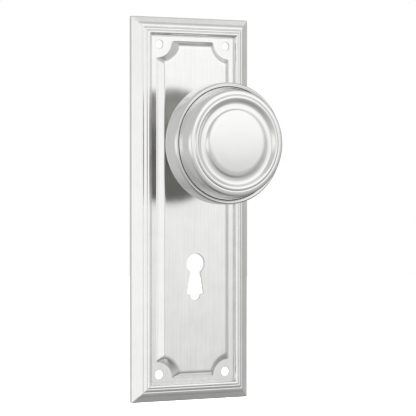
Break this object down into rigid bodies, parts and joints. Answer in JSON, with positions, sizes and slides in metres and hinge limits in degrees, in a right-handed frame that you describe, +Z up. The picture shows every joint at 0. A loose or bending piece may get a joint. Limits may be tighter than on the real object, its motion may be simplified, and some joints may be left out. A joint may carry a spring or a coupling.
{
  "type": "door knob",
  "caption": "Round stepped door knob on a long moulded plate with a keyhole, sprung to centre, with a square spindle to turn a mortise lock.",
  "frame": {"origin": "on the knob's axis, in the plane of the door's face where the plate's rim rests", "axes": "+X to the right seen from the front, +Y into the door along the spindle, +Z up along the plate"},
  "size_m": [0.0628, 0.0979, 0.1841],
  "materials": {
    "satin_nickel": "satin",
    "zinc_steel": "satin",
    "spring_steel": "satin",
    "cast_zinc": "satin",
    "nylon": "satin"
  },
  "bodies": {
    "plate": {"back_plate": "satin_nickel", "plate_collar": "satin_nickel", "bearing_bush": "nylon", "spring_housing": "zinc_steel", "housing_cover": "zinc_steel", "housing_screw_1": "zinc_steel", "housing_screw_2": "zinc_steel", "housing_screw_3": "zinc_steel", "housing_screw_4": "zinc_steel", "return_spring": "spring_steel", "stop_pin_left": "zinc_steel", "stop_pin_right": "zinc_steel"},
    "knob": {"knob_front_shell": "satin_nickel", "knob_back_shell": "satin_nickel", "knob_shank": "satin_nickel", "set_screw": "spring_steel", "spindle": "zinc_steel", "spacer_washer": "nylon", "spring_rotor": "cast_zinc", "wave_washer": "spring_steel", "clip_washer": "zinc_steel", "retaining_clip": "spring_steel"}
  },
  "joints": [
    {"name": "knob_turn", "type": "hinge", "parent": "plate", "child": "knob", "pos_m": [0, 0, 0], "axis": [0, 1, 0], "range_deg": [-60, 60], "stiffness_Nm_per_rad": 0.4, "deforming": ["return_spring"]}
  ]
}
